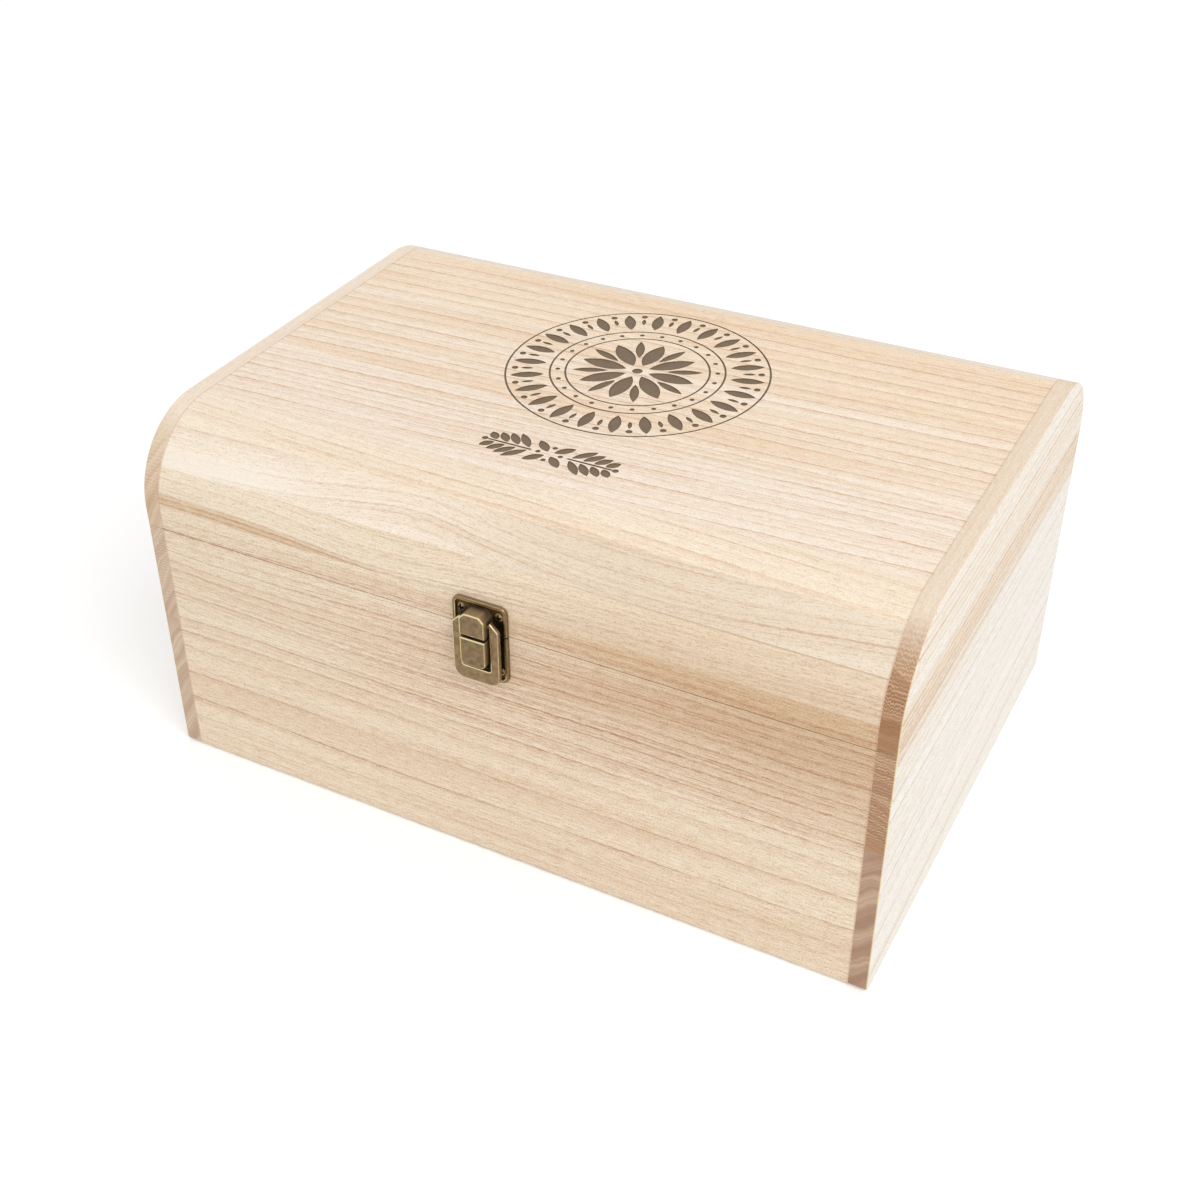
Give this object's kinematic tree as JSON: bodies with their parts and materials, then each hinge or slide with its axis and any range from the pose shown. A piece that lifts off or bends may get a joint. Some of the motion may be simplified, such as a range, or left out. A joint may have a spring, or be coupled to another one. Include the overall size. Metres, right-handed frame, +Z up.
{
  "type": "hinged keepsake box",
  "caption": "Hinged wooden keepsake box with a lid rounded at front and back, an engraved flat top and a ring clasp.",
  "frame": {"origin": "on the resting plane, in the middle of the overall width and of the overall depth with clasp and hinges", "axes": "+X to the right along the width, +Y from the clasp side to the hinge side, +Z up"},
  "size_m": [0.35, 0.2644, 0.175],
  "materials": {
    "front_and_back_wood": "bare sanded pale wood, warm beige, fine level grain along the width",
    "side_wood": "bare sanded pale wood, cream faces with grain from front to back and tan end grain on the edges",
    "stave_wood": "bare sanded pale wood with a cathedral figure",
    "lid_top_wood": "bare sanded pale wood with brown growth lines and a shallow brown engraving",
    "bottom_panel_wood": "bare thin wooden panel",
    "bronze": "antique bronze plating, dark olive brown with bright worn edges",
    "bronze_screws": "antique bronze plated screws",
    "bronze_pins": "antique bronze plated steel pin"
  },
  "bodies": {
    "base": {"base_front_panel": "front_and_back_wood", "base_back_panel": "front_and_back_wood", "base_bottom_panel": "bottom_panel_wood", "base_left_lower_board": "side_wood", "base_left_upper_board": "side_wood", "base_right_lower_board": "side_wood", "base_right_upper_board": "side_wood", "clasp_base_plate": "bronze", "clasp_keeper": "bronze", "clasp_base_screws": "bronze_screws", "left_hinge_base_leaf": "bronze", "left_hinge_pin": "bronze_pins", "right_hinge_base_leaf": "bronze", "right_hinge_pin": "bronze_pins", "hinge_base_screws": "bronze_screws"},
    "lid": {"lid_front_rail": "front_and_back_wood", "lid_front_lower_stave": "stave_wood", "lid_front_upper_stave": "stave_wood", "lid_top_front_board": "lid_top_wood", "lid_top_middle_board": "lid_top_wood", "lid_top_rear_board": "lid_top_wood", "lid_back_upper_stave": "stave_wood", "lid_back_lower_stave": "stave_wood", "lid_back_rail": "front_and_back_wood", "lid_left_side": "side_wood", "lid_right_side": "side_wood", "clasp_lid_plate": "bronze", "clasp_nose": "bronze", "clasp_lid_screws": "bronze_screws", "left_hinge_lid_leaf": "bronze", "right_hinge_lid_leaf": "bronze", "hinge_lid_screws": "bronze_screws"},
    "latch_ring": {"clasp_ring": "bronze"}
  },
  "joints": [
    {"name": "lid_hinge", "type": "hinge", "parent": "base", "child": "lid", "pos_m": [0, 0.12852, 0.1252], "axis": [-1, 0, 0], "range_deg": [0, 105]},
    {"name": "ring_pivot", "type": "hinge", "parent": "lid", "child": "latch_ring", "pos_m": [-0.0009, -0.1286, 0.1309], "axis": [-1, 0, 0], "range_deg": [0, 180]}
  ]
}
